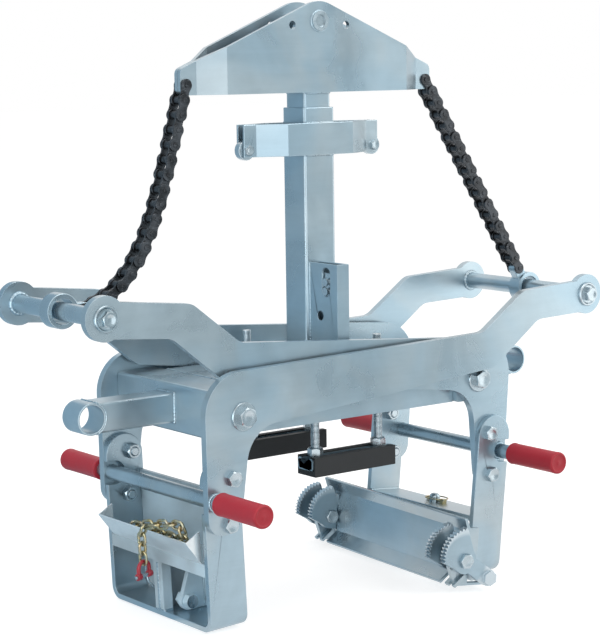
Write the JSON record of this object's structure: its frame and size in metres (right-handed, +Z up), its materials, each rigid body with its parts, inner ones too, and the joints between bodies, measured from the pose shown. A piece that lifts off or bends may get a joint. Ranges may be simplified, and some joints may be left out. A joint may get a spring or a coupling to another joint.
{
  "type": "precast concrete lifting clamp",
  "caption": "Free-standing scissor clamp for precast concrete: a headstock on a sliding mast pulls two chains that swing crossed arms and close the jaws.",
  "frame": {"origin": "on the floor, under the middle of the mast", "axes": "+X along the clamping direction towards the swivelling grip unit, -Y front, +Z up"},
  "size_m": [1.1052, 0.596, 1.0352],
  "materials": {
    "zinc_steel": "zinc plated, faintly mottled",
    "bright_fasteners": "bright zinc",
    "bright_sheet": "smooth bright zinc sheet",
    "chain_steel": "oiled dark steel",
    "gold_chain": "yellow chromate",
    "red_paint": "satin paint",
    "red_rubber": "smooth soft grip",
    "black_rubber": "matt moulded"
  },
  "bodies": {
    "base": {"mast_outer_tube": "zinc_steel", "chain_guide_front_plate": "zinc_steel", "chain_guide_rear_plate": "zinc_steel", "roller_axle_bolts": "bright_fasteners", "base_beam": "zinc_steel", "left_end_eye": "zinc_steel", "right_end_eye": "zinc_steel", "left_cross_box": "zinc_steel", "right_cross_box": "zinc_steel", "base_deck": "zinc_steel", "pivot_bolts": "bright_fasteners", "latch_housing": "zinc_steel", "stop_rod_nuts": "bright_fasteners"},
    "headstock": {"headstock_front_plate": "zinc_steel", "headstock_rear_plate": "zinc_steel", "inner_mast_tube": "zinc_steel", "lifting_pin": "zinc_steel", "chain_anchor_pins": "chain_steel"},
    "arm_a": {"arm_a_front_plate": "zinc_steel", "arm_a_rear_plate": "zinc_steel", "arm_a_crossbar": "zinc_steel", "arm_a_end_bolts": "bright_fasteners", "left_handle_tube": "zinc_steel", "left_grips": "red_rubber", "left_jaw_frame": "zinc_steel", "left_jaw_web": "zinc_steel", "left_jaw_bolts": "bright_fasteners", "left_lever_bracket": "zinc_steel", "chain_tray": "bright_sheet", "securing_chain": "gold_chain", "hammerlock": "red_paint"},
    "arm_b": {"arm_b_front_plate": "zinc_steel", "arm_b_rear_plate": "zinc_steel", "arm_b_crossbar": "zinc_steel", "arm_b_end_bolts": "bright_fasteners", "right_handle_tube": "zinc_steel", "right_grips": "red_rubber", "right_jaw_frame": "zinc_steel", "right_jaw_shelf": "zinc_steel", "right_jaw_bolts": "bright_fasteners"},
    "right_chain": {"right_chain": "chain_steel"},
    "right_chain_eye": {"right_chain_eye": "chain_steel"},
    "left_chain_1": {"left_chain_1": "chain_steel"},
    "left_chain_2": {"left_chain_2": "chain_steel"},
    "left_chain_3": {"left_chain_3": "chain_steel"},
    "left_chain_eye": {"left_chain_eye": "chain_steel"},
    "left_guide_roller": {"left_guide_roller": "zinc_steel"},
    "right_guide_roller": {"right_guide_roller": "zinc_steel"},
    "latch": {"latch_slider": "zinc_steel"},
    "front_stop": {"front_stop_rubber": "black_rubber", "front_stop_hanger": "zinc_steel"},
    "rear_stop": {"rear_stop_rubber": "black_rubber", "rear_stop_hanger": "zinc_steel"},
    "grip_unit": {"grip_face": "zinc_steel", "grip_end_plates": "zinc_steel", "grip_king_pin": "bright_fasteners", "cam_bolts": "bright_fasteners", "linchpin": "bright_fasteners"},
    "front_cams": {"front_cam_pair": "zinc_steel"},
    "rear_cams": {"rear_cam_pair": "zinc_steel"}
  },
  "joints": [
    {"name": "headstock_lift", "type": "slide", "parent": "base", "child": "headstock", "axis": [0, 0, 1], "range_m": [0, 0.2]},
    {"name": "arm_a_pivot", "type": "hinge", "parent": "base", "child": "arm_a", "pos_m": [-0.2695, 0, 0.36148], "axis": [0, -1, 0], "range_deg": [0, 13.32]},
    {"name": "arm_b_pivot", "type": "hinge", "parent": "base", "child": "arm_b", "pos_m": [0.2695, 0, 0.36148], "axis": [0, 1, 0], "range_deg": [0, 11.16]},
    {"name": "right_chain_swing", "type": "hinge", "parent": "headstock", "child": "right_chain", "pos_m": [0.262, 0, 0.89648], "axis": [0, 1, 0], "range_deg": [0, 6.8]},
    {"name": "right_eye_swing", "type": "hinge", "parent": "right_chain", "child": "right_chain_eye", "pos_m": [0.49616, 0, 0.53369], "axis": [0, 1, 0], "range_deg": [-1, 1]},
    {"name": "left_chain_1_swing", "type": "hinge", "parent": "headstock", "child": "left_chain_1", "pos_m": [-0.262, 0, 0.89648], "axis": [0, 1, 0], "range_deg": [-3.87, 0]},
    {"name": "left_chain_2_swing", "type": "hinge", "parent": "left_chain_1", "child": "left_chain_2", "pos_m": [-0.33978, 0, 0.65496], "axis": [0, 1, 0], "range_deg": [-4.45, 0]},
    {"name": "left_chain_3_swing", "type": "hinge", "parent": "left_chain_2", "child": "left_chain_3", "pos_m": [-0.39858, 0, 0.57292], "axis": [0, 1, 0], "range_deg": [-10.99, 0]},
    {"name": "left_chain_eye_swing", "type": "hinge", "parent": "left_chain_3", "child": "left_chain_eye", "pos_m": [-0.46657, 0, 0.54077], "axis": [0, 1, 0], "range_deg": [-17.97, 0]},
    {"name": "left_roller_spin", "type": "hinge", "parent": "base", "child": "left_guide_roller", "pos_m": [-0.138, 0, 0.78348], "axis": [0, 1, 0], "continuous": true},
    {"name": "right_roller_spin", "type": "hinge", "parent": "base", "child": "right_guide_roller", "pos_m": [0.138, 0, 0.78348], "axis": [0, 1, 0], "continuous": true},
    {"name": "latch_slide", "type": "slide", "parent": "base", "child": "latch", "axis": [0, 0, 1], "range_m": [0, 0.015]},
    {"name": "front_stop_height", "type": "slide", "parent": "base", "child": "front_stop", "axis": [0, 0, 1], "range_m": [-0.03, 0.04]},
    {"name": "rear_stop_height", "type": "slide", "parent": "base", "child": "rear_stop", "axis": [0, 0, 1], "range_m": [-0.03, 0.04]},
    {"name": "grip_swivel", "type": "hinge", "parent": "arm_b", "child": "grip_unit", "pos_m": [0.2873, 0, 0.10796], "axis": [0.1037, 0, 0.9946], "range_deg": [-7, 17]},
    {"name": "front_cam_turn", "type": "hinge", "parent": "grip_unit", "child": "front_cams", "pos_m": [0.15678, -0.20533, 0.06154], "axis": [0.0919, 0.9957, -0.0096], "range_deg": [-45, 0]},
    {"name": "rear_cam_turn", "type": "hinge", "parent": "grip_unit", "child": "rear_cams", "pos_m": [0.19647, 0.22482, 0.0574], "axis": [0.0919, 0.9957, -0.0096], "range_deg": [-45, 0]}
  ],
  "couplings": [
    {"joint": "arm_a_pivot", "follows": "headstock_lift", "rad_per_m": 1.1191},
    {"joint": "arm_b_pivot", "follows": "headstock_lift", "rad_per_m": 0.92987},
    {"joint": "right_chain_swing", "follows": "headstock_lift", "rad_per_m": 0.54962},
    {"joint": "right_eye_swing", "follows": "headstock_lift", "rad_per_m": -0.000254},
    {"joint": "left_chain_1_swing", "follows": "headstock_lift", "rad_per_m": -0.29412},
    {"joint": "left_chain_2_swing", "follows": "headstock_lift", "rad_per_m": -0.34484},
    {"joint": "left_chain_3_swing", "follows": "headstock_lift", "rad_per_m": -0.91506},
    {"joint": "left_chain_eye_swing", "follows": "headstock_lift", "rad_per_m": -1.5246}
  ]
}
